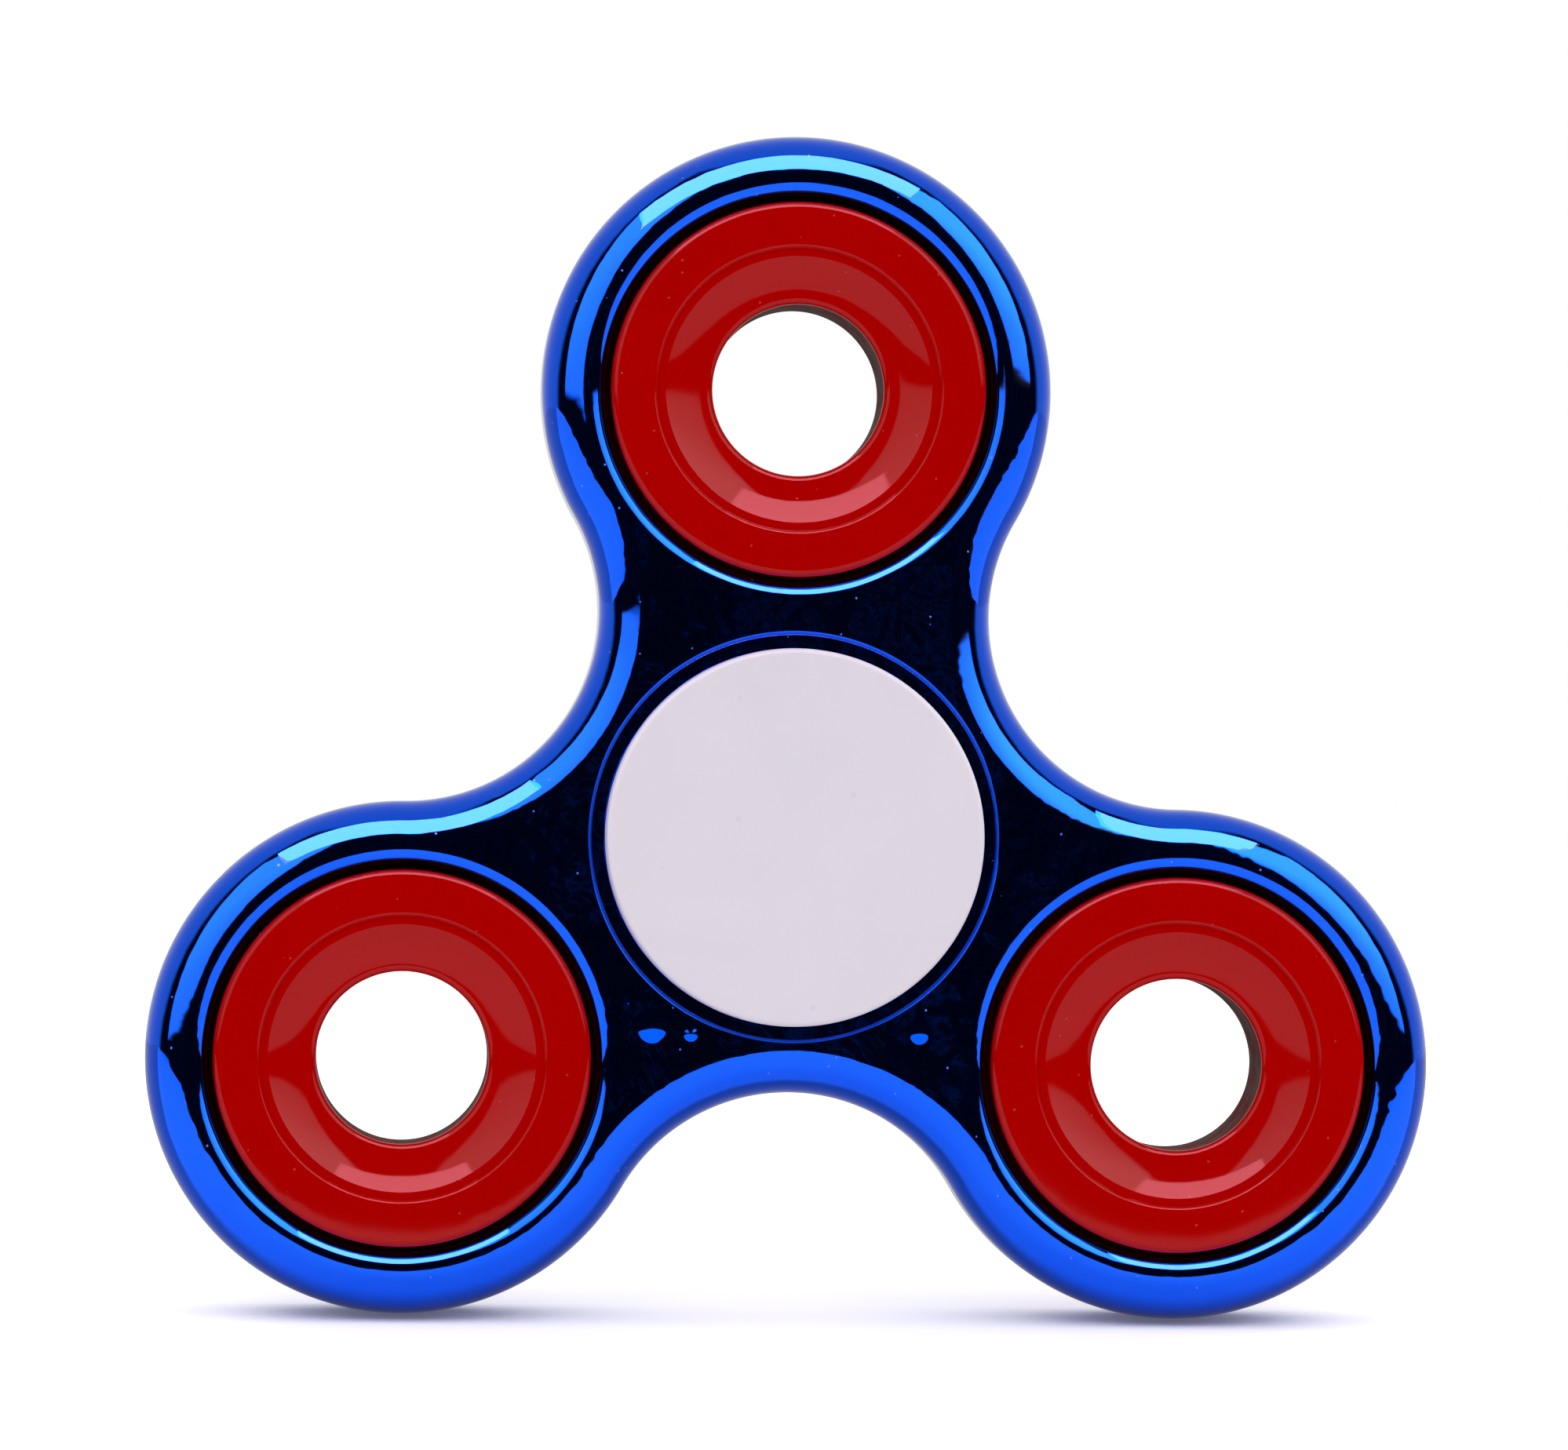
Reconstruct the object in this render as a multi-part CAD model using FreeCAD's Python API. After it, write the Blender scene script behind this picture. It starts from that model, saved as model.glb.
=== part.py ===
"""A three-lobed fidget spinner, in millimetres.

The spin axis is Y. The front face looks along -Y and one lobe points up, along +Z.
The origin is the centre of the bearing.
"""
import FreeCAD
import Part
import math
import os

# plated body: three round lobes joined by three hollow curves
lobe_pitch = 26.2           # spin axis to the middle of a lobe
lobe_radius = 15.0
waist_radius = lobe_pitch - lobe_radius
body_half = 4.0             # half of the body's thickness
edge_round = 2.64           # rounding of the outer edge
seat_radius = 11.0          # through hole that holds a bearing or a weight
recess_depth = 0.95         # shallow recess around each hole
lobe_recess_radius = 11.35
lobe_mouth_round = 0.85     # rounding of the recess's outer corner
funnel_depth = 1.7          # a lobe's recess narrows to the seat at this depth
hub_recess_radius = 11.82
hub_mouth_round = 0.26

# red weight rings pressed into the lobes
weight_corner = 0.5         # rounding of the outer corner
rim_inner_radius = 8.5      # inner edge of the flat rim
rim_round = 0.2
step_foot_radius = 8.26     # foot of the small step inside the rim
step_drop = 0.22
dish_edge_slope = 28.0      # degrees, where the dish meets the step
dish_floor_slope = 2.0      # degrees, where the dish meets the lip
lip_round = 0.38
weight_bore = 5.03

# ball bearing, 22 mm outside, 8 mm bore, 7 mm wide
bearing_half = 3.5
shaft_radius = 4.0
ball_nominal = 3.969 / 2
ball_radius = ball_nominal - 0.04   # a running clearance on each side
ball_pitch = 7.5
ball_count = 7
groove_radius = 2.064
inner_land = 6.05
outer_land = 8.95
shield_shoulder = 2.6       # distance from the mid plane to the shield's seat
shield_seat_radius = 9.5
snap_groove_radius = 9.75
snap_groove_end = 3.2

# pressed shields and the split rings that hold them
shield_inner_radius = 6.3
shield_sheet = 0.25
shield_lift = 0.15          # the middle of the shield stands out by this much
snap_inner_radius = 9.1
snap_outer_radius = 9.72
snap_gap = 28.0             # degrees

# ball cage of two pressed halves and seven rivets
cage_inner = 6.7
cage_outer = 8.3
cage_sheet = 0.3
pocket_radius = 2.04
rivet_radius = 0.35
rivet_head_radius = 0.6
rivet_head_height = 0.25

# finger caps
cap_face = 6.0              # distance from the mid plane to the cap's face
cap_radius = 11.05
cap_corner = 0.3
cap_draft = 0.06            # the side leans in by this much from base to face
cap_base = 3.8
cap_plate = 1.1
cap_wall = 1.2
boss_radius = 5.6
post_end = 0.15
stud_radius = 1.95
stud_reach = 3.0
socket_radius = 2.0
socket_depth = 3.1
rib_count = 6
rib_width = 0.8
rib_height = 0.7

ORIGIN = FreeCAD.Vector(0, 0, 0)
SPIN_AXIS = FreeCAD.Vector(0, 1, 0)


def at_angle(radius, degrees):
    """A point in the plane of the spinner, at this radius and angle from +X towards +Z."""
    turn = math.radians(degrees)
    return FreeCAD.Vector(radius * math.cos(turn), 0, radius * math.sin(turn))


def profile_edges(start, steps):
    """Edges of an outline in radius and height. A step of four numbers is an arc's middle and end."""
    edges = []
    here = FreeCAD.Vector(start[0], start[1], 0)
    for step in steps:
        end = FreeCAD.Vector(step[-2], step[-1], 0)
        if len(step) == 4:
            middle = FreeCAD.Vector(step[0], step[1], 0)
            edges.append(Part.Arc(here, middle, end).toShape())
        else:
            edges.append(Part.makeLine(here, end))
        here = end
    return edges


def turned(edges, degrees=360):
    """A solid of revolution about the spin axis."""
    wire = Part.Wire(Part.__sortEdges__(edges))
    return Part.Face(wire).revolve(ORIGIN, SPIN_AXIS, degrees)


def turned_closed(points, degrees=360):
    """A solid of revolution from a plain polygon of radius and height pairs."""
    return turned(profile_edges(points[0], points[1:] + points[:1]), degrees)


def turned_symmetric(start, steps):
    """A solid of revolution whose lower half mirrors its upper half."""
    upper = Part.Wire(profile_edges(start, steps))
    lower = upper.mirror(ORIGIN, SPIN_AXIS)
    return turned(upper.Edges + lower.Edges).removeSplitter()


def corner_middle(centre_r, centre_h, radius, degrees):
    """The point of a corner's arc that lies at this angle from its centre."""
    turn = math.radians(degrees)
    return (centre_r + radius * math.cos(turn), centre_h + radius * math.sin(turn))


def to_back(shape):
    """The mirror image on the other side of the mid plane."""
    return shape.mirror(ORIGIN, SPIN_AXIS)


def body_outline():
    """Lobes at 90, 210 and 330 degrees, with a hollow curve touching each pair."""
    edges = []
    share = lobe_radius / lobe_pitch
    for lobe_angle in (90, 210, 330):
        lobe = at_angle(lobe_pitch, lobe_angle)
        waist_before = at_angle(lobe_pitch, lobe_angle - 60)
        waist = at_angle(lobe_pitch, lobe_angle + 60)
        waist_after = at_angle(lobe_pitch, lobe_angle + 120)
        start = lobe + (waist_before - lobe) * share
        middle = at_angle(lobe_pitch + lobe_radius, lobe_angle)
        end = lobe + (waist - lobe) * share
        hollow = at_angle(lobe_pitch - waist_radius, lobe_angle + 60)
        next_start = waist_after + (waist - waist_after) * share
        edges.append(Part.Arc(start, middle, end).toShape())
        edges.append(Part.Arc(end, hollow, next_start).toShape())
    return Part.Wire(Part.__sortEdges__(edges))


def hole_centres():
    """The hub first, then the top, left and right lobes."""
    return [ORIGIN] + [at_angle(lobe_pitch, angle) for angle in (90, 210, 330)]


def make_body():
    """The plated plastic frame with its four holes."""
    face = Part.Face(body_outline())
    blank = face.extrude(SPIN_AXIS * (2 * body_half))
    blank.translate(SPIN_AXIS * -body_half)
    outer = [e for e in blank.Edges if abs(abs(e.CenterOfMass.y) - body_half) < 1e-6]
    body = blank.makeFillet(edge_round, outer)
    hub, *lobes = hole_centres()
    body = body.cut(hole_tool(hub, hub_recess_radius, recess_depth))
    for lobe in lobes:
        body = body.cut(hole_tool(lobe, lobe_recess_radius, funnel_depth))
    body = body.makeFillet(hub_mouth_round, mouths(body, hub_recess_radius))
    return body.makeFillet(lobe_mouth_round, mouths(body, lobe_recess_radius))


def hole_tool(centre, recess_radius, floor_depth):
    """What one hole takes away: the seat, and a recess that meets it at this depth on each side."""
    tool = turned_symmetric(
        (seat_radius, 0),
        [
            (seat_radius, body_half - floor_depth),
            (recess_radius, body_half - recess_depth),
            (recess_radius, body_half + 1),
            (0, body_half + 1),
            (0, 0),
        ],
    )
    tool.translate(centre)
    return tool


def mouths(body, radius):
    """The circles of this radius where a recess meets a flat face."""
    found = []
    for edge in body.Edges:
        curve = edge.Curve
        if isinstance(curve, Part.Circle) and abs(curve.Radius - radius) < 1e-6:
            if abs(abs(curve.Center.y) - body_half) < 1e-6:
                found.append(edge)
    return found


def make_weight(centre):
    """A ring with a flat rim, a small step, a shallow dish and a rounded lip at its hole."""
    edge_turn = math.radians(dish_edge_slope)
    floor_turn = math.radians(dish_floor_slope)
    lip_radius = weight_bore + lip_round
    dish_top = body_half - step_drop
    arc = (step_foot_radius - lip_radius) / (math.sin(edge_turn) - math.sin(floor_turn))
    arc_centre_r = step_foot_radius - arc * math.sin(edge_turn)
    arc_centre_h = dish_top + arc * math.cos(edge_turn)
    dish_floor = arc_centre_h - arc * math.cos(floor_turn)
    middle_slope = (dish_edge_slope + dish_floor_slope) / 2
    dish_middle = corner_middle(arc_centre_r, arc_centre_h, arc, middle_slope - 90)
    lip_middle = corner_middle(lip_radius, dish_floor - lip_round, lip_round, 135)
    rim_middle = corner_middle(rim_inner_radius, body_half - rim_round, rim_round, 115)
    rim_end = corner_middle(rim_inner_radius, body_half - rim_round, rim_round, 140)
    outer_middle = corner_middle(
        seat_radius - weight_corner, body_half - weight_corner, weight_corner, 45
    )
    ring = turned_symmetric(
        (weight_bore, 0),
        [
            (weight_bore, dish_floor - lip_round),
            lip_middle + (lip_radius, dish_floor),
            dish_middle + (step_foot_radius, dish_top),
            rim_end,
            rim_middle + (rim_inner_radius, body_half),
            (seat_radius - weight_corner, body_half),
            outer_middle + (seat_radius, body_half - weight_corner),
            (seat_radius, 0),
        ],
    )
    ring.translate(centre)
    return ring


def groove_half_width(land, centre_r):
    """Where the ball groove's arc meets a land of this radius."""
    return math.sqrt(groove_radius ** 2 - (land - centre_r) ** 2)


def make_outer_race():
    """Outer bearing ring with its ball groove, shield seats and split ring grooves."""
    chamfer = 0.3
    centre_r = ball_pitch + ball_nominal - groove_radius
    half_width = groove_half_width(outer_land, centre_r)
    bottom = centre_r + groove_radius
    arc_turn = math.degrees(math.atan2(half_width, outer_land - centre_r)) / 2
    return turned_symmetric(
        (bottom, 0),
        [
            corner_middle(centre_r, 0, groove_radius, arc_turn) + (outer_land, half_width),
            (outer_land, shield_shoulder),
            (shield_seat_radius, shield_shoulder),
            (shield_seat_radius, shield_shoulder + shield_sheet),
            (snap_groove_radius, shield_shoulder + shield_sheet),
            (snap_groove_radius, snap_groove_end),
            (shield_seat_radius, snap_groove_end),
            (shield_seat_radius + 0.1, bearing_half),
            (seat_radius - chamfer, bearing_half),
            (seat_radius, bearing_half - chamfer),
            (seat_radius, 0),
        ],
    )


def make_inner_race():
    """Inner bearing ring, which the two caps clamp."""
    chamfer = 0.3
    centre_r = ball_pitch - ball_nominal + groove_radius
    half_width = groove_half_width(inner_land, centre_r)
    bottom = centre_r - groove_radius
    arc_turn = 180 - math.degrees(math.atan2(half_width, centre_r - inner_land)) / 2
    return turned_symmetric(
        (bottom, 0),
        [
            corner_middle(centre_r, 0, groove_radius, arc_turn) + (inner_land, half_width),
            (inner_land, bearing_half - chamfer / 2),
            (inner_land - chamfer / 2, bearing_half),
            (shaft_radius + chamfer, bearing_half),
            (shaft_radius, bearing_half - chamfer),
            (shaft_radius, 0),
        ],
    )


def make_shield():
    """Back shield, a pressed disc with a raised middle."""
    low = shield_shoulder
    high = shield_shoulder + shield_lift
    return turned_closed(
        [
            (shield_inner_radius, high),
            (8.4, high),
            (8.7, low),
            (shield_seat_radius, low),
            (shield_seat_radius, low + shield_sheet),
            (8.8, low + shield_sheet),
            (8.5, high + shield_sheet),
            (shield_inner_radius, high + shield_sheet),
        ]
    )


def make_snap_ring(gap_angle):
    """Back split ring, turned by this angle."""
    low = shield_shoulder + shield_sheet + 0.02
    high = snap_groove_end - 0.02
    ring = turned_closed(
        [
            (snap_inner_radius, low),
            (snap_outer_radius, low),
            (snap_outer_radius, high),
            (snap_inner_radius, high),
        ],
        360 - snap_gap,
    )
    ring.rotate(ORIGIN, SPIN_AXIS, gap_angle)
    return ring


def ball_angles(offset=0):
    """Angles of the balls, or of the points between them when offset by half a step."""
    step = 360 / ball_count
    return [90 + (number + offset) * step for number in range(ball_count)]


def make_ball(number):
    """One bearing ball."""
    return Part.makeSphere(ball_radius, at_angle(ball_pitch, ball_angles()[number]))


def pocket_sphere(radius, angle):
    """A sphere round one ball, with its poles outside the cage and its seam on the front side."""
    radial = at_angle(1, angle)
    sphere = Part.makeSphere(radius)
    turn = FreeCAD.Rotation(SPIN_AXIS * -1, FreeCAD.Vector(), radial, "ZXY")
    sphere.Placement = FreeCAD.Placement(radial * ball_pitch, turn)
    return sphere


def make_cage_half():
    """Back cage half: a flat band with seven domed pockets."""
    dome_radius = pocket_radius + cage_sheet
    band = turned_closed(
        [
            (cage_inner, 0),
            (cage_outer, 0),
            (cage_outer, dome_radius + 1),
            (cage_inner, dome_radius + 1),
        ]
    )
    half = turned_closed(
        [(cage_inner, 0), (cage_outer, 0), (cage_outer, cage_sheet), (cage_inner, cage_sheet)]
    )
    for angle in ball_angles():
        half = half.fuse(pocket_sphere(dome_radius, angle).common(band))
    for angle in ball_angles():
        half = half.cut(pocket_sphere(pocket_radius, angle))
    for angle in ball_angles(0.5):
        half = half.cut(
            Part.makeCylinder(rivet_radius, 2, at_angle(ball_pitch, angle), SPIN_AXIS)
        )
    return half


def make_rivets():
    """Seven rivets that join the cage halves."""
    top = cage_sheet + rivet_head_height
    shank = Part.makeCylinder(rivet_radius, 2 * top, ORIGIN - SPIN_AXIS * top, SPIN_AXIS)
    head = turned_closed(
        [
            (0, cage_sheet),
            (rivet_head_radius, cage_sheet),
            (rivet_head_radius, top - 0.12),
            (rivet_head_radius * 0.6, top),
            (0, top),
        ]
    )
    rivet = shank.fuse(head).fuse(to_back(head)).removeSplitter()
    rivets = []
    for angle in ball_angles(0.5):
        copy = rivet.copy()
        copy.translate(at_angle(ball_pitch, angle))
        rivets.append(copy)
    return Part.makeCompound(rivets)


def make_cap_shell():
    """Back cap without its stud or socket: face plate, skirt, boss, ribs and post."""
    face_radius = cap_radius - cap_draft
    corner = corner_middle(face_radius - cap_corner, cap_face - cap_corner, cap_corner, 45)
    shell = turned(
        profile_edges(
            (0, post_end),
            [
                (shaft_radius - 0.3, post_end),
                (shaft_radius, post_end + 0.3),
                (shaft_radius, bearing_half),
                (boss_radius, bearing_half),
                (boss_radius, cap_face - cap_plate),
                (cap_radius - cap_wall, cap_face - cap_plate),
                (cap_radius - cap_wall, cap_base),
                (cap_radius - 0.1, cap_base),
                (cap_radius, cap_base + 0.1),
                (face_radius, cap_face - cap_corner),
                corner + (face_radius - cap_corner, cap_face),
                (0, cap_face),
                (0, post_end),
            ],
        )
    )
    for number in range(rib_count):
        rib = Part.makeBox(
            cap_radius - boss_radius - cap_wall + 1,
            rib_height + 0.3,
            rib_width,
            FreeCAD.Vector(
                boss_radius - 0.5, cap_face - cap_plate - rib_height, -rib_width / 2
            ),
        )
        rib.rotate(ORIGIN, SPIN_AXIS, number * 360 / rib_count)
        shell = shell.fuse(rib)
    return shell.removeSplitter()


def make_front_cap():
    """Front cap, whose stud plugs into the back cap."""
    start = -post_end - 0.5
    stud = Part.makeCylinder(
        stud_radius, stud_reach + 0.5, SPIN_AXIS * start, SPIN_AXIS
    )
    tip = [e for e in stud.Edges if abs(e.CenterOfMass.y - (start + stud_reach + 0.5)) < 1e-6]
    stud = stud.makeChamfer(0.3, tip)
    return to_back(make_cap_shell()).fuse(stud).removeSplitter()


def make_back_cap():
    """Back cap, with a socket for the front cap's stud."""
    socket = Part.makeCylinder(
        socket_radius, socket_depth + 1, SPIN_AXIS * (post_end - 1), SPIN_AXIS
    )
    return make_cap_shell().cut(socket)


def check_and_write(name, shape):
    """Write one node, after making sure that it is sound."""
    if not shape.isValid():
        raise RuntimeError(name + " is not a valid shape")
    shape.exportStep("parts/" + name + ".step")
    print(name, len(shape.Solids), round(shape.Volume, 3))


def main():
    os.makedirs("parts", exist_ok=True)
    hub, top, left, right = hole_centres()
    check_and_write("body", make_body())
    check_and_write("weight_ring_top", make_weight(top))
    check_and_write("weight_ring_left", make_weight(left))
    check_and_write("weight_ring_right", make_weight(right))
    check_and_write("bearing_outer_race", make_outer_race())
    check_and_write("bearing_inner_race", make_inner_race())
    check_and_write("shield_back", make_shield())
    check_and_write("shield_front", to_back(make_shield()))
    check_and_write("snap_ring_back", make_snap_ring(200))
    check_and_write("snap_ring_front", to_back(make_snap_ring(40)))
    check_and_write("cage_half_back", make_cage_half())
    check_and_write("cage_half_front", to_back(make_cage_half()))
    check_and_write("cage_rivets", make_rivets())
    for number in range(ball_count):
        check_and_write("ball_" + str(number + 1), make_ball(number))
    check_and_write("front_cap", make_front_cap())
    check_and_write("back_cap", make_back_cap())


main()
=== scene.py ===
"""Fidget spinner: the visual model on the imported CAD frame, its studio and its camera.

Lengths are in millimetres until a mesh is made. The front of the spinner looks along -Y.
"""
import bpy
import math
from mathutils import Matrix, Vector
from mathutils.geometry import delaunay_2d_cdt


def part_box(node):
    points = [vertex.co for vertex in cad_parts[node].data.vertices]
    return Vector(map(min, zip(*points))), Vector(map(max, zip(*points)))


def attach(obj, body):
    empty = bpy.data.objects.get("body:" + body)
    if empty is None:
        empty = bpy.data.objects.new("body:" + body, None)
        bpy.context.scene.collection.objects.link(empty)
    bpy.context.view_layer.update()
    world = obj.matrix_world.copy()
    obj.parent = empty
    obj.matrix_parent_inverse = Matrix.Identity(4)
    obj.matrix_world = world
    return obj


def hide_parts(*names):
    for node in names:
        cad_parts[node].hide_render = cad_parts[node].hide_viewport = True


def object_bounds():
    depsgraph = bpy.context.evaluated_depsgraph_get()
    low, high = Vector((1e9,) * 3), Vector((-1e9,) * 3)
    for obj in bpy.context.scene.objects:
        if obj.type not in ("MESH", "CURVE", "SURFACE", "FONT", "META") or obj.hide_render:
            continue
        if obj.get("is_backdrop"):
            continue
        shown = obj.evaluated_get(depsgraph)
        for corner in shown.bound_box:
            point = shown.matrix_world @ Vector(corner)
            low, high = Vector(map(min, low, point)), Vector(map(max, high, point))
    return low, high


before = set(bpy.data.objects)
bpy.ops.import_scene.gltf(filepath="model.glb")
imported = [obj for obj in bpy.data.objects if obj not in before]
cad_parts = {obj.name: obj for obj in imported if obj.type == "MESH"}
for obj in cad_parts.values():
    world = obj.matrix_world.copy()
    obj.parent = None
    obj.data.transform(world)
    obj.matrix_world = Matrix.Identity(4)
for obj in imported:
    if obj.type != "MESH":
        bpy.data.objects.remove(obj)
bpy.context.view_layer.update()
MM = 0.001

# plated body
LOBE_PITCH = 26.2
LOBE_RADIUS = 14.99
WAIST_RADIUS = LOBE_PITCH - LOBE_RADIUS
BODY_HALF = 4.0
EDGE_ROUND = 2.64
SEAT_RADIUS = 11.0
RECESS_FLOOR = 3.05
FUNNEL_FLOOR = 2.3
HUB_RECESS, HUB_MOUTH = 11.82, 0.26
LOBE_RECESS, LOBE_MOUTH = 11.35, 0.85
LOBE_ANGLES = (90, 210, 330)
RAISED_SPOTS = ((-8.15, -11.1, 1.1), (7.45, -11.3, 0.8), (-5.9, -11.5, 0.5))  # x, z, radius

# fineness of the meshes, in steps or segments
LOBE_STEPS, WAIST_STEPS = 180, 68
EDGE_STEPS = 30
MOUTH_STEPS = 16
HOLE_SEGMENTS = 216
PIECE_SEGMENTS = 256


def unit(degrees):
    """Direction in the plane of the spinner, from +X towards +Z."""
    turn = math.radians(degrees)
    return math.cos(turn), math.sin(turn)


class Shell:
    """A mesh that is given the exact normal of its surface at every face corner.

    finish is the number of the material that the next faces get.
    """

    def __init__(self):
        self.points = []
        self.faces = []
        self.normals = []
        self.finish = 0
        self.finishes = []

    def point(self, x, y, z):
        """Adds a point and returns its number."""
        self.points.append((x, y, z))
        return len(self.points) - 1

    def face(self, corners):
        """Adds a face from pairs of point number and normal, turned to agree with its normals."""
        places = [Vector(self.points[number]) for number, _ in corners]
        facing = Vector()
        for here, ahead in zip(places, places[1:] + places[:1]):
            facing += here.cross(ahead)
        wanted = sum((Vector(normal) for _, normal in corners), Vector())
        if facing.dot(wanted) < 0:
            corners = corners[::-1]
        self.faces.append([number for number, _ in corners])
        self.finishes.append(self.finish)
        self.normals.extend(normal for _, normal in corners)

    def piece(self, name, *materials):
        """The finished object, in metres."""
        mesh = bpy.data.meshes.new(name)
        mesh.from_pydata([[MM * c for c in p] for p in self.points], [], self.faces)
        for material in materials:
            mesh.materials.append(material)
        mesh.polygons.foreach_set("material_index", self.finishes)
        mesh.polygons.foreach_set("use_smooth", [True] * len(mesh.polygons))
        mesh.normals_split_custom_set(self.normals)
        made = bpy.data.objects.new(name, mesh)
        bpy.context.scene.collection.objects.link(made)
        return made


def line(start, end, normal):
    """A straight strip of a turned profile: rows of radius, height and normal."""
    length = math.hypot(*normal)
    n = (normal[0] / length, normal[1] / length)
    return [start + n, end + n]


def arc(centre_r, centre_h, radius, start, end, steps, side=1):
    """A round strip of a turned profile; side -1 is hollow."""
    rows = []
    for step in range(steps + 1):
        turn = math.radians(start + (end - start) * step / steps)
        c, s = math.cos(turn), math.sin(turn)
        rows.append((centre_r + radius * c, centre_h + radius * s, side * c, side * s))
    return rows


def mirrored(strips):
    """The same strips on the other side of the mid plane, in walking order."""
    return [[(r, -h, nr, -nh) for r, h, nr, nh in strip[::-1]] for strip in strips[::-1]]


def turn_strips(shell, strips, segments, centre=(0, 0), facing=1, first=None, last=None):
    """Turns strips round an axis along Y. facing 1 makes height run towards -Y.

    first and last are rings of points that exist already. Returns the first and last ring.
    A ring of no radius is one point, and the faces there are triangles.
    """
    waves = [unit(360 * k / segments) for k in range(segments)]

    def ring(r, h):
        if r == 0:
            return [shell.point(centre[0], -facing * h, centre[1])] * segments
        return [shell.point(centre[0] + r * c, -facing * h, centre[1] + r * s) for c, s in waves]

    before = first or ring(*strips[0][0][:2])
    start = before
    for number, strip in enumerate(strips):
        for low, high in zip(strip, strip[1:]):
            is_last = number == len(strips) - 1 and high is strip[-1]
            after = last if is_last and last else ring(high[0], high[1])
            for k in range(segments):
                m = (k + 1) % segments
                corners = []
                for points, row, at in ((before, low, k), (before, low, m),
                                        (after, high, m), (after, high, k)):
                    c, s = waves[at]
                    normal = (row[2] * c, -facing * row[3], row[2] * s)
                    if all(points[at] != used for used, _ in corners):
                        corners.append((points[at], normal))
                shell.face(corners)
            before = after
    return start, before


def body_outline(inset):
    """Points and outward directions round the body, moved in by this much."""
    rows = []
    for lobe_angle in LOBE_ANGLES:
        centre = unit(lobe_angle)
        for step in range(LOBE_STEPS):
            c, s = unit(lobe_angle - 120 + step * 240 / LOBE_STEPS)
            r = LOBE_RADIUS - inset
            rows.append((LOBE_PITCH * centre[0] + r * c, LOBE_PITCH * centre[1] + r * s, c, s))
        centre = unit(lobe_angle + 60)
        for step in range(WAIST_STEPS):
            c, s = unit(lobe_angle + 300 - step * 120 / WAIST_STEPS)
            r = WAIST_RADIUS + inset
            rows.append((LOBE_PITCH * centre[0] + r * c, LOBE_PITCH * centre[1] + r * s, -c, -s))
    return rows


def outer_skin(shell):
    """The rounded outside of the body. Returns its front and back edge rings."""
    turns = [90 - 90 * step / EDGE_STEPS for step in range(EDGE_STEPS + 1)]
    rows = [(math.radians(turn), -1) for turn in turns]
    rows += [(math.radians(turn), 1) for turn in turns[::-1]]
    before = None
    for turn, side in rows:
        rise, out = math.sin(turn), math.cos(turn)
        y = side * (BODY_HALF - EDGE_ROUND + EDGE_ROUND * rise)
        outline = body_outline(EDGE_ROUND * (1 - out))
        ring = [shell.point(x, y, z) for x, z, _, _ in outline]
        normals = [(out * c, side * rise, out * s) for _, _, c, s in outline]
        if before is None:
            front = ring
        else:
            for k in range(len(ring)):
                m = (k + 1) % len(ring)
                shell.face([(before[k], normals_before[k]), (before[m], normals_before[m]),
                            (ring[m], normals[m]), (ring[k], normals[k])])
        before, normals_before = ring, normals
    return front, before


def flat_face(shell, outline, mouths, side):
    """Fills the flat face between the outer ring and the mouths of the four holes.

    A triangle whose corners all lie on one mouth would close that hole and is left out.
    """
    rings = [outline] + mouths
    numbers = [number for ring in rings for number in ring]
    owner = [k for k, ring in enumerate(rings) for _ in ring]
    flat = [Vector((shell.points[n][0], shell.points[n][2])) for n in numbers]
    edges = []
    start = 0
    for ring in rings:
        edges += [(start + k, start + (k + 1) % len(ring)) for k in range(len(ring))]
        start += len(ring)
    inside, closeness = 1, 1e-7
    _, _, triangles, sources = delaunay_2d_cdt(flat, edges, [], inside, closeness)[:4]
    for triangle in triangles:
        corners = [sources[v][0] for v in triangle]
        owners = {owner[c] for c in corners}
        if len(owners) == 1 and 0 not in owners:
            continue
        shell.face([(numbers[c], (0, side, 0)) for c in corners])


def hole_strips(recess, mouth_round, floor):
    """Profile of a hole, from its front mouth through the recess and the seat to the back."""
    start = BODY_HALF - mouth_round
    mouth = [
        arc(recess + mouth_round, start, mouth_round, 90, 180, MOUTH_STEPS),
        line((recess, start), (recess, RECESS_FLOOR), (-1, 0)),
        line((recess, RECESS_FLOOR), (SEAT_RADIUS, floor),
             (floor - RECESS_FLOOR, recess - SEAT_RADIUS)),
    ]
    wall = [line((SEAT_RADIUS, floor), (SEAT_RADIUS, -floor), (-1, 0))]
    return mouth + wall + mirrored(mouth)


def make_body(material):
    """The plated frame: outside, two flat faces and four stepped holes, all one closed skin."""
    shell = Shell()
    front, back = outer_skin(shell)
    starts, ends = [], []
    hub = hole_strips(HUB_RECESS, HUB_MOUTH, RECESS_FLOOR)
    lobe = hole_strips(LOBE_RECESS, LOBE_MOUTH, FUNNEL_FLOOR)
    lobe_centres = [(LOBE_PITCH * c, LOBE_PITCH * s) for c, s in map(unit, LOBE_ANGLES)]
    for strips, centre in [(hub, (0, 0))] + [(lobe, centre) for centre in lobe_centres]:
        first, last = turn_strips(shell, strips, HOLE_SEGMENTS, centre)
        starts.append(first)
        ends.append(last)
    flat_face(shell, front, starts, -1)
    flat_face(shell, back, ends, 1)
    return shell.piece("body_shell", material)


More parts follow.
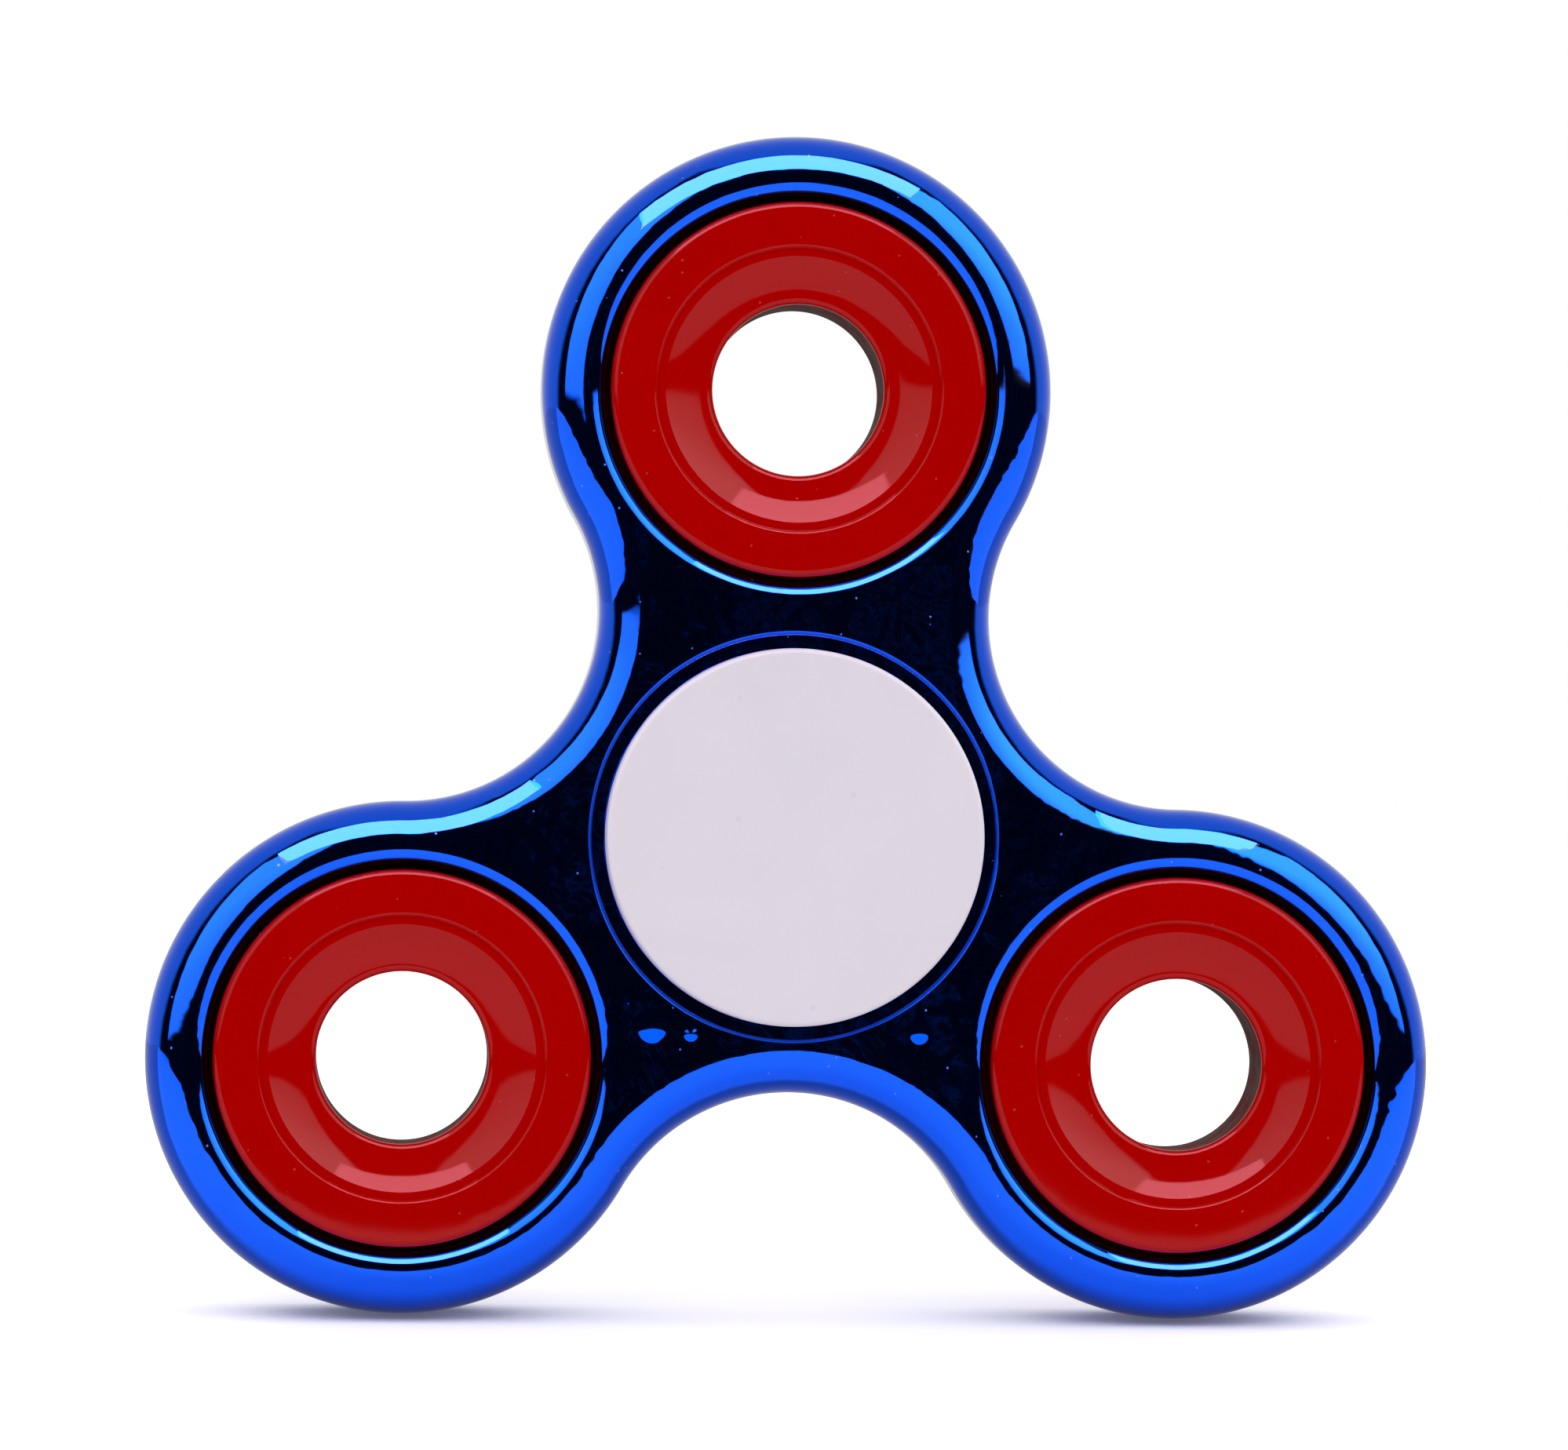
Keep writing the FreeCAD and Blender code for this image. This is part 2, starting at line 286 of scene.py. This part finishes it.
def weight_strips():
    """Profile of a weight ring, from the bore over the front to the outside and back."""
    bore, lip = 5.03, 0.38
    ledge_in, ledge_out, ledge_h = 7.8, 8.26, 3.78
    rim_in, rim_round, corner = 8.5, 0.2, 0.42
    crown = 0.018
    steepest, shallowest = 28, 2
    steep, shallow = math.radians(steepest), math.radians(shallowest)
    radius = (ledge_in - bore - lip) / (math.sin(steep) - math.sin(shallow))
    dish_r = ledge_in - radius * math.sin(steep)
    dish_h = ledge_h + radius * math.cos(steep)
    floor = dish_h - radius * math.cos(shallow)
    step_normal = (-0.13, 0.09)
    half_rim = (SEAT_RADIUS - corner - rim_in) / 2
    crown_radius = (half_rim ** 2 + crown ** 2) / (2 * crown)
    crown_turn = math.degrees(math.asin(half_rim / crown_radius))
    rim_end = arc(rim_in, BODY_HALF - crown - rim_round, rim_round, 140, 90 + crown_turn, 8)
    half = [
        arc(bore + lip, floor - lip, lip, 180, 90, 10),
        arc(dish_r, dish_h, radius, shallowest - 90, steepest - 90, 20, -1),
        line((ledge_in, ledge_h), (ledge_out, ledge_h), (0, 1)),
        line((ledge_out, ledge_h), rim_end[0][:2], step_normal),
        rim_end,
        arc(rim_in + half_rim, BODY_HALF - crown_radius, crown_radius,
            90 + crown_turn, 90 - crown_turn, 12),
        arc(SEAT_RADIUS - corner, BODY_HALF - crown - corner, corner, 90 - crown_turn, 0, 16),
    ]
    wall_end = BODY_HALF - crown - corner
    wall = [line((SEAT_RADIUS, wall_end), (SEAT_RADIUS, -wall_end), (1, 0))]
    tube = [line((bore, lip - floor), (bore, floor - lip), (-1, 0))]
    return tube + half + wall + mirrored(half)


def make_weight(name, centre, paint, bare):
    """A weight ring: painted all over but for the bare wall of its bore."""
    shell = Shell()
    strips = weight_strips()
    shell.finish = 1
    first_ring, last_ring = turn_strips(shell, strips[:1], PIECE_SEGMENTS, centre)
    shell.finish = 0
    turn_strips(shell, strips[1:], PIECE_SEGMENTS, centre, first=last_ring, last=first_ring)
    return shell.piece(name, paint, bare)


def cap_strips(has_stud):
    """Profile of a finger cap, from the middle of its face out and back along its underside."""
    face, radius, corner = 6.0, 11.05, 0.3
    draft, draft_turn, draft_normal = 0.06, 2, (1, 0.037)
    rim_h, rim_round = 3.8, 0.1
    wall_r, ceiling = 9.85, 4.9
    collar_r, collar_h = 5.6, 3.5
    post_r, post_end, post_chamfer = 4.0, 0.15, 0.3
    stud_r, stud_end, stud_chamfer = 1.95, -3.0, 0.3
    socket_r, socket_top = 2.0, 3.25
    top_r = radius - draft
    rim_middle = rim_h + rim_round
    tip_r = post_r - post_chamfer
    strips = [
        line((0, face), (top_r - corner, face), (0, 1)),
        arc(top_r - corner, face - corner, corner, 90, draft_turn, 16),
    ]
    side_top = strips[-1][-1]
    strips += [
        line(side_top[:2], (radius, rim_middle), draft_normal),
        arc(radius - rim_round, rim_middle, rim_round, 0, -90, 4),
        line((radius - rim_round, rim_h), (wall_r + rim_round, rim_h), (0, -1)),
        arc(wall_r + rim_round, rim_middle, rim_round, -90, -180, 4),
        line((wall_r, rim_middle), (wall_r, ceiling), (-1, 0)),
        line((wall_r, ceiling), (collar_r, ceiling), (0, -1)),
        line((collar_r, ceiling), (collar_r, collar_h), (1, 0)),
        line((collar_r, collar_h), (post_r, collar_h), (0, -1)),
        line((post_r, collar_h), (post_r, post_end + post_chamfer), (1, 0)),
        line((post_r, post_end + post_chamfer), (tip_r, post_end), (1, -1)),
    ]
    if has_stud:
        stud_tip = stud_r - stud_chamfer
        strips += [
            line((tip_r, post_end), (stud_r, post_end), (0, -1)),
            line((stud_r, post_end), (stud_r, stud_end + stud_chamfer), (1, 0)),
            line((stud_r, stud_end + stud_chamfer), (stud_tip, stud_end), (1, -1)),
            line((stud_tip, stud_end), (0, stud_end), (0, -1)),
        ]
    else:
        strips += [
            line((tip_r, post_end), (socket_r, post_end), (0, -1)),
            line((socket_r, post_end), (socket_r, socket_top), (-1, 0)),
            line((socket_r, socket_top), (0, socket_top), (0, -1)),
        ]
    return strips


def add_rib(shell, degrees, facing):
    """A stiffening rib under a cap, a box that ends inside the collar, the wall and the plate."""
    c, s = unit(degrees)
    start, end = 5.2, 10.2
    half = 0.4
    low, high = 4.2, 5.2
    corners = {}
    for r in (start, end):
        for w in (-half, half):
            for h in (low, high):
                corners[r, w, h] = shell.point(r * c - w * s, -facing * h, r * s + w * c)
    for r, turn in ((start, -1), (end, 1)):
        normal = (turn * c, 0, turn * s)
        shell.face([(corners[r, w, h], normal)
                    for w, h in ((-half, low), (half, low), (half, high), (-half, high))])
    for w, turn in ((-half, -1), (half, 1)):
        normal = (-s * turn, 0, c * turn)
        shell.face([(corners[r, w, h], normal)
                    for r, h in ((start, low), (end, low), (end, high), (start, high))])
    for h, turn in ((low, facing), (high, -facing)):
        shell.face([(corners[r, w, h], (0, turn, 0))
                    for r, w in ((start, -half), (end, -half), (end, half), (start, half))])


def make_cap(name, facing, has_stud, material):
    """A finger cap with six ribs. facing 1 is the front cap and -1 the back one."""
    shell = Shell()
    turn_strips(shell, cap_strips(has_stud), PIECE_SEGMENTS, facing=facing)
    for degrees in range(0, 360, 60):
        add_rib(shell, degrees, facing)
    return shell.piece(name, material)


class Graph:
    """Short calls for a node tree."""

    def __init__(self, tree):
        self.tree = tree

    def add(self, kind, inputs=None, **settings):
        """Adds a node. An input is either a number, colour or vector, or a socket to link."""
        made = self.tree.nodes.new(kind)
        for key, value in settings.items():
            setattr(made, key, value)
        for key, value in (inputs or {}).items():
            if isinstance(value, bpy.types.NodeSocket):
                self.tree.links.new(value, made.inputs[key])
            else:
                made.inputs[key].default_value = value
        return made

    def math(self, operation, a, b=0.0):
        return self.add("ShaderNodeMath", {0: a, 1: b}, operation=operation).outputs[0]

    def ramp(self, value, low, high, start=0.0, end=1.0):
        """Smooth step from start, where value is low, to end, where it is high."""
        return self.add("ShaderNodeMapRange",
                        {"Value": value, 1: low, 2: high, 3: start, 4: end},
                        interpolation_type="SMOOTHSTEP").outputs[0]

    def band(self, value, low, high, soft):
        """1 between low and high, with soft ends."""
        rise = self.ramp(value, low - soft, low + soft)
        fall = self.ramp(value, high - soft, high + soft, start=1.0, end=0.0)
        return self.math("MULTIPLY", rise, fall)

    def noise(self, where, scale, detail, roughness=0.5, distortion=0.0):
        """Noise from 0 to 1, with this many waves to a metre."""
        return self.add("ShaderNodeTexNoise",
                        {"Vector": where, "Scale": scale, "Detail": detail,
                         "Roughness": roughness, "Distortion": distortion}).outputs[0]

    def mix(self, factor, a, b):
        """Colour a where factor is 0 and b where it is 1."""
        made = self.add("ShaderNodeMix", {0: factor, 6: a, 7: b}, data_type="RGBA")
        return made.outputs[2]

    def choose(self, factor, a, b):
        """Number a where factor is 0 and b where it is 1."""
        return self.add("ShaderNodeMix", {0: factor, 2: a, 3: b}).outputs[0]

    def link(self, source, shader, key):
        self.tree.links.new(source, shader.inputs[key])


def new_material(name, finish, socket_values):
    """A material with its own shader values.

    finish(graph, where, shader) links its colour, roughness and bump.
    """
    material = bpy.data.materials.new(name)
    material.use_nodes = True
    graph = Graph(material.node_tree)
    shader = material.node_tree.nodes["Principled BSDF"]
    for key, value in socket_values.items():
        shader.inputs[key].default_value = value
    where = graph.add("ShaderNodeTexCoord").outputs["Object"]
    finish(graph, where, shader)
    return material


def add_bumps(graph, shader, layers):
    """Bump layers, each a height from 0 to 1 and the depth in millimetres that it stands for."""
    normal = None
    for height, depth in layers:
        inputs = {"Height": height, "Distance": depth * MM, "Strength": 1.0}
        if normal:
            inputs["Normal"] = normal
        normal = graph.add("ShaderNodeBump", inputs).outputs[0]
    graph.link(normal, shader, "Normal")


def specks(graph, where, scale, size, share):
    """Small round specks on a share of the cells of a grid; size is in cells."""
    cells = graph.add("ShaderNodeTexVoronoi", {"Vector": where, "Scale": scale})
    chosen = graph.math("GREATER_THAN", graph.add(
        "ShaderNodeSeparateColor", {0: cells.outputs["Color"]}).outputs[0], 1 - share)
    near = graph.ramp(cells.outputs["Distance"], size * 0.4, size, start=1.0, end=0.0)
    return graph.math("MULTIPLY", near, chosen)


def bulge(graph, where, x, z, radius):
    """A low round swelling left by the mould, at this place in millimetres."""
    flat = graph.add("ShaderNodeVectorMath", {0: where, 1: (1, 0, 1)}, operation="MULTIPLY")
    away = graph.add("ShaderNodeVectorMath", {0: flat.outputs[0], 1: (x * MM, 0, z * MM)},
                     operation="DISTANCE").outputs["Value"]
    return graph.ramp(away, 0.0, radius * MM, start=1.0, end=0.0)


def plating(graph, where, shader):
    """Blue electroplating over moulded plastic.

    It has moulding waves, three small raised spots, faint smears, dust and hair scratches.
    """
    wave = graph.noise(where, 70, detail=1.0)
    ripple = graph.noise(where, 250, detail=2.0, roughness=0.55, distortion=0.6)
    fine_wave = graph.noise(where, 900, detail=1.0)
    smear = graph.noise(where, 55, detail=5.0, roughness=0.65, distortion=1.2)
    dust = specks(graph, where, 2300, size=0.2, share=0.03)
    stretched = graph.add("ShaderNodeMapping", {"Vector": where, "Scale": (60, 60, 2400),
                                                "Rotation": (0.2, 0.5, 0.3)}).outputs[0]
    hairs = graph.ramp(graph.noise(stretched, 1.0, detail=2.0, roughness=0.6), 0.70, 0.76)
    tint = graph.mix(smear, (0.0015, 0.088, 0.82, 1), (0.0025, 0.102, 0.88, 1))
    dull = graph.ramp(smear, 0.45, 0.85, start=0.015, end=0.04)
    marked = graph.math("ADD", dull, graph.math("MULTIPLY", hairs, 0.03))
    graph.link(graph.mix(graph.math("MULTIPLY", dust, 0.5), tint, (0.25, 0.32, 0.60, 1)),
               shader, "Base Color")
    graph.link(graph.math("MAXIMUM", marked, graph.math("MULTIPLY", dust, 0.6)),
               shader, "Roughness")
    spots = [bulge(graph, where, *spot) for spot in RAISED_SPOTS]
    swelling = graph.math("ADD", graph.math("ADD", spots[0], spots[1]), spots[2])
    add_bumps(graph, shader, [(wave, 0.22), (ripple, 0.04), (swelling, 0.06),
                              (fine_wave, 0.007), (dust, 0.003)])


def red_paint(graph, where, shader):
    """Glossy red paint: a slight orange peel, thin and thick places, and dust caught in it."""
    peel = graph.noise(where, 800, detail=2.0)
    drift = graph.noise(where, 140, detail=3.0)
    dust = specks(graph, where, 2600, size=0.22, share=0.03)
    base = graph.mix(drift, (0.372, 0.0, 0.0, 1), (0.414, 0.0, 0.0, 1))
    graph.link(graph.mix(graph.math("MULTIPLY", dust, 0.45), base, (0.45, 0.10, 0.09, 1)),
               shader, "Base Color")
    graph.link(graph.ramp(drift, 0.3, 0.8, start=0.05, end=0.10), shader, "Roughness")
    add_bumps(graph, shader, [(drift, 0.03), (peel, 0.0035), (dust, 0.006)])


def bore_wall(graph, where, shader):
    """Bare metal in the bore, browned, with turning marks and overspray."""
    spray = graph.noise(where, 600, detail=4.0, roughness=0.7)
    stretched = graph.add("ShaderNodeMapping", {"Vector": where, "Scale": (40, 5000, 40)})
    turning = graph.noise(stretched.outputs[0], 1.0, detail=3.0)
    browned, sprayed = (0.045, 0.018, 0.010, 1), (0.10, 0.0, 0.0, 1)
    graph.link(graph.mix(graph.ramp(spray, 0.4, 0.65), browned, sprayed), shader, "Base Color")
    graph.link(graph.ramp(spray, 0.3, 0.7, start=0.55, end=0.75), shader, "Roughness")
    add_bumps(graph, shader, [(turning, 0.006), (spray, 0.008)])


def cap_plastic(graph, where, shader):
    """Off-white moulded plastic: a fine satin grain, faint flow marks and finger wear."""
    flow = graph.noise(where, 90, detail=4.0, roughness=0.6, distortion=0.8)
    grain = graph.noise(where, 5200, detail=3.0, roughness=0.6)
    dust = specks(graph, where, 900, size=0.2, share=0.05)
    base = graph.mix(flow, (0.685, 0.65, 0.71, 1), (0.725, 0.69, 0.745, 1))
    graph.link(graph.mix(graph.math("MULTIPLY", dust, 0.18), base, (0.45, 0.40, 0.42, 1)),
               shader, "Base Color")
    graph.link(graph.ramp(flow, 0.3, 0.75, start=0.38, end=0.50), shader, "Roughness")
    add_bumps(graph, shader, [(flow, 0.02), (grain, 0.004), (dust, 0.006)])


def turned_steel(low, high, line_scale, roughness):
    """Machined or pressed steel: rings left by the tool, oil film and small wear marks."""

    def finish(graph, where, shader):
        parts = graph.add("ShaderNodeSeparateXYZ", {0: where})
        square = graph.math("ADD", graph.math("MULTIPLY", parts.outputs[0], parts.outputs[0]),
                            graph.math("MULTIPLY", parts.outputs[2], parts.outputs[2]))
        radius = graph.math("SQRT", square)
        rings_at = graph.add("ShaderNodeCombineXYZ", {0: radius, 1: parts.outputs[1]}).outputs[0]
        tool = graph.noise(rings_at, line_scale, detail=4.0, roughness=0.7)
        film = graph.noise(where, 300, detail=4.0, roughness=0.6, distortion=1.0)
        marks = specks(graph, where, 1500, size=0.3, share=0.08)
        base = graph.mix(film, low + (1,), high + (1,))
        graph.link(graph.mix(graph.math("MULTIPLY", marks, 0.4), base, (0.25, 0.22, 0.2, 1)),
                   shader, "Base Color")
        worn = graph.ramp(tool, 0.3, 0.7, start=roughness, end=roughness + 0.12)
        oily = graph.ramp(film, 0.4, 0.8, start=0.0, end=0.08)
        graph.link(graph.math("ADD", worn, oily), shader, "Roughness")
        add_bumps(graph, shader, [(tool, 0.006), (marks, 0.004)])

    return finish


METAL = {"Metallic": 1.0}
materials = {
    "body_plating": new_material("body_plating", plating, {
        "Metallic": 1.0, "Coat Weight": 1.0, "Coat Roughness": 0.02, "Coat IOR": 1.2}),
    "weight_paint": new_material("weight_paint", red_paint, {
        "Specular IOR Level": 0.17}),
    "bore_wall": new_material("bore_wall", bore_wall, {
        "Specular IOR Level": 0.08}),
    "cap_plastic": new_material("cap_plastic", cap_plastic, {
        "Specular IOR Level": 0.4, "Subsurface Weight": 0.04, "Subsurface Scale": 0.001}),
    "race_steel": new_material("race_steel", turned_steel(
        (0.50, 0.50, 0.51), (0.60, 0.60, 0.61), 9000, 0.14), METAL),
    "shield_steel": new_material("shield_steel", turned_steel(
        (0.55, 0.54, 0.52), (0.66, 0.65, 0.63), 4000, 0.24), METAL),
    "ring_steel": new_material("ring_steel", turned_steel(
        (0.30, 0.29, 0.28), (0.42, 0.41, 0.40), 6000, 0.30), METAL),
    "cage_steel": new_material("cage_steel", turned_steel(
        (0.48, 0.46, 0.43), (0.58, 0.56, 0.52), 3000, 0.28), METAL),
    "ball_steel": new_material("ball_steel", turned_steel(
        (0.60, 0.60, 0.62), (0.68, 0.68, 0.70), 2500, 0.05), METAL),
}


def carry_over():
    """Gives each CAD node that stays its material."""
    slots = {
        "bearing_outer_race": "race_steel", "bearing_inner_race": "race_steel",
        "shield_front": "shield_steel", "shield_back": "shield_steel",
        "snap_ring_front": "ring_steel", "snap_ring_back": "ring_steel",
        "cage_half_front": "cage_steel", "cage_half_back": "cage_steel",
        "cage_rivets": "cage_steel",
    }
    for number in range(1, 8):
        slots["ball_%d" % number] = "ball_steel"
    for name, slot in slots.items():
        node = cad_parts[name]
        if not node.material_slots:
            node.data.materials.append(None)
        for holder in node.material_slots:
            holder.material = materials[slot]


def place(piece, body, node):
    """Puts a piece on its body in place of its CAD node."""
    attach(piece, body)
    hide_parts(node)


carry_over()
place(make_body(materials["body_plating"]), "rotor", "body")
for side in ("top", "left", "right"):
    low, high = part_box("weight_ring_" + side)
    middle = (low + high) / 2 / MM
    ring = make_weight("weight_" + side, (middle.x, middle.z), materials["weight_paint"],
                       materials["bore_wall"])
    place(ring, "rotor", "weight_ring_" + side)
place(make_cap("cap_front", 1, True, materials["cap_plastic"]), "hub", "front_cap")
place(make_cap("cap_back", -1, False, materials["cap_plastic"]), "hub", "back_cap")


def pale_floor(graph, where, shader):
    """White light-table sheet, exposed to pure white. Its bounce is weaker, and painted darker from
    just in front of the spinner backwards: painted shade under and behind it.
    """
    seen = graph.add("ShaderNodeLightPath").outputs["Is Camera Ray"]
    tone = graph.noise(where, 30, detail=3.0)
    lit = graph.mix(tone, (0.93, 0.925, 0.92, 1), (0.95, 0.945, 0.94, 1))
    depth = graph.add("ShaderNodeSeparateXYZ", {0: where}).outputs[1]
    bright, painted_shade_grey = (0.78, 0.775, 0.78, 1), (0.30, 0.30, 0.30, 1)
    # painted shade: the bounce colour goes from light grey 5.5 mm in front of the mid plane to dark
    # grey from 1 mm in front of it backwards, standing in for the spinner's shadow
    bounce_with_painted_shade = graph.mix(graph.ramp(depth, -5.5 * MM, -1 * MM), bright, painted_shade_grey)
    graph.link(graph.mix(seen, bounce_with_painted_shade, lit), shader, "Base Color")


FLOOR_SLOPE = 0.09
LEVELS_FROM, LEVEL_AT = 25, 45
LAMP_COLOUR = (1.0, 0.975, 1.0)


def floor_height(y):
    """Height of the floor in millimetres: it falls away to the front and levels out behind."""
    touch = 1.6
    if y < LEVELS_FROM:
        return FLOOR_SLOPE * (y - touch)
    if y < LEVEL_AT:
        bend = FLOOR_SLOPE * (y - LEVELS_FROM) ** 2 / (2 * (LEVEL_AT - LEVELS_FROM))
        return FLOOR_SLOPE * (y - touch) - bend
    return FLOOR_SLOPE * ((LEVELS_FROM + LEVEL_AT) / 2 - touch)


def make_floor():
    """A pale sheet that the spinner stands on."""
    shell = Shell()
    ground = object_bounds()[0].z / MM
    half_width, back, front = 2500, 2500, -730
    nudge = 0.01
    rows = []
    for y in (back, *range(LEVEL_AT, LEVELS_FROM - 1, -4), front):
        z = ground + floor_height(y)
        slope = (floor_height(y + nudge) - floor_height(y - nudge)) / (2 * nudge)
        rows.append([(shell.point(x, y, z), (0, -slope, 1)) for x in (-half_width, half_width)])
    for (a, b), (c, d) in zip(rows, rows[1:]):
        shell.face([a, b, d, c])
    floor = shell.piece("floor", new_material("floor", pale_floor, {
        "Roughness": 0.9, "Specular IOR Level": 0.1,
        "Emission Color": (1.0, 0.97, 1.0, 1), "Emission Strength": 0.10}))
    floor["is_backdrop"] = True


def make_panel():
    """The light panel over the front of the spinner, rosy in reflections and pale as a lamp."""
    shell = Shell()
    left, right, front, back, height = -323, 261, -745, -180, 450
    corners = [(left, front), (right, front), (right, back), (left, back)]
    shell.face([(shell.point(x, y, height), (0, 0, -1)) for x, y in corners])
    material = bpy.data.materials.new("overhead_panel")
    material.use_nodes = True
    material.node_tree.nodes.clear()
    graph = Graph(material.node_tree)
    glossy = graph.add("ShaderNodeLightPath").outputs["Is Glossy Ray"]
    pale, rosy = (1.6, 1.57, 1.65, 1), (18.0, 7.3, 9.0, 1)
    glow = graph.add("ShaderNodeEmission", {
        "Color": graph.mix(glossy, pale, rosy), "Strength": 1.0})
    out = graph.add("ShaderNodeOutputMaterial")
    graph.tree.links.new(glow.outputs[0], out.inputs[0])
    panel = shell.piece("overhead_panel", material)
    panel.visible_camera = False
    panel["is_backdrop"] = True


def make_lamp(name, direction, energy, width):
    """A far, very broad lamp, missing from reflections. It keeps the floor white."""
    data = bpy.data.lights.new(name, "SUN")
    data.energy = energy
    data.angle = math.radians(width)
    data.color = LAMP_COLOUR
    lamp = bpy.data.objects.new(name, data)
    lamp.rotation_euler = Vector(direction).to_track_quat("-Z", "Y").to_euler()
    lamp.visible_glossy = False
    bpy.context.scene.collection.objects.link(lamp)


def side_panel(g, azimuth, elevation, across, up, brightness):
    """A soft panel between two azimuths and two elevations, brighter towards its top."""
    soft = 1.0
    shape = g.math("MULTIPLY", g.band(azimuth, *across, soft), g.band(elevation, *up, soft))
    return g.math("MULTIPLY", shape, g.ramp(elevation, *brightness))


def light_studio():
    """A light tent: soft panels at the sides, pale walls behind and a dark front.

    The reflections show it in full. Matt surfaces get less of it, and the camera sees white.
    """
    world = bpy.data.worlds.new("studio")
    bpy.context.scene.world = world
    world.use_nodes = True
    tree = world.node_tree
    tree.nodes.clear()
    g = Graph(tree)
    direction = g.add("ShaderNodeTexCoord").outputs["Generated"]
    parts = g.add("ShaderNodeSeparateXYZ", {0: direction})
    x, y, z = parts.outputs
    to_degrees = 180 / math.pi
    front = g.math("MULTIPLY", y, -1.0)
    azimuth = g.math("MULTIPLY", g.math("ARCTAN2", x, front), to_degrees)
    elevation = g.math("MULTIPLY", g.math("ARCSINE", z), to_degrees)
    left = side_panel(g, azimuth, elevation, (-59, -11), (2, 49), (-5, 35, 1.3, 2.4))
    right = side_panel(g, azimuth, elevation, (15, 60), (5, 50), (0, 32, 1.5, 3.8))
    tilt = g.math("MULTIPLY", elevation, 0.3)
    away = g.ramp(g.math("ADD", g.math("ABSOLUTE", azimuth), tilt), 77, 90)
    above = g.ramp(elevation, 62, 70)
    wall_strength = 0.68
    walls = g.math("MULTIPLY", g.math("MAXIMUM", away, above), wall_strength)
    cloud = g.noise(direction, 34, detail=4.0, roughness=0.7, distortion=1.0)
    haze = g.ramp(cloud, 0.50, 0.78, start=0.007, end=0.05)
    total = g.math("ADD", g.math("MAXIMUM", left, right), g.math("ADD", walls, haze))
    rays = g.add("ShaderNodeLightPath").outputs
    matt_share = g.ramp(elevation, 0, 50, start=0.14, end=0.58)
    lit = g.math("MULTIPLY", total, g.choose(rays["Is Glossy Ray"], matt_share, 1.0))
    strength = g.choose(rays["Is Camera Ray"], lit, 1.0)
    back = g.add("ShaderNodeBackground", {"Color": (1, 1, 1, 1), "Strength": strength})
    out = g.add("ShaderNodeOutputWorld")
    tree.links.new(back.outputs[0], out.inputs[0])


def make_camera():
    """Close to the spin axis, a little to the left, and turned slightly about its own axis."""
    turn, rise, roll = math.radians(3.48), math.radians(0.766), math.radians(0.66)
    stand = (-0.025, -0.404, 0.0012)  # metres
    forward = Vector((math.sin(turn) * math.cos(rise), math.cos(turn) * math.cos(rise),
                      math.sin(rise)))
    side = forward.cross(Vector((0, 0, 1))).normalized()
    up = side.cross(forward)
    right = side * math.cos(roll) + up * math.sin(roll)
    up = right.cross(forward)
    data = bpy.data.cameras.new("camera")
    data.sensor_width = 36
    data.lens = 157.65
    data.clip_start = 0.01
    data.clip_end = 20
    camera = bpy.data.objects.new("camera", data)
    camera.matrix_world = Matrix.Translation(stand) @ Matrix(
        (right, up, -forward)).transposed().to_4x4()
    bpy.context.scene.collection.objects.link(camera)
    bpy.context.scene.camera = camera


make_floor()
make_panel()
make_lamp("overhead", (0.0, -0.10, -0.99), 1.7, 100)
make_lamp("from_left", (0.8, -0.05, -0.6), 1.3, 70)
make_lamp("from_right", (-0.8, -0.05, -0.6), 1.3, 70)
light_studio()
make_camera()
bpy.context.scene.view_settings.view_transform = "Standard"
bpy.context.scene.view_settings.look = "None"

low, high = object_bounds()
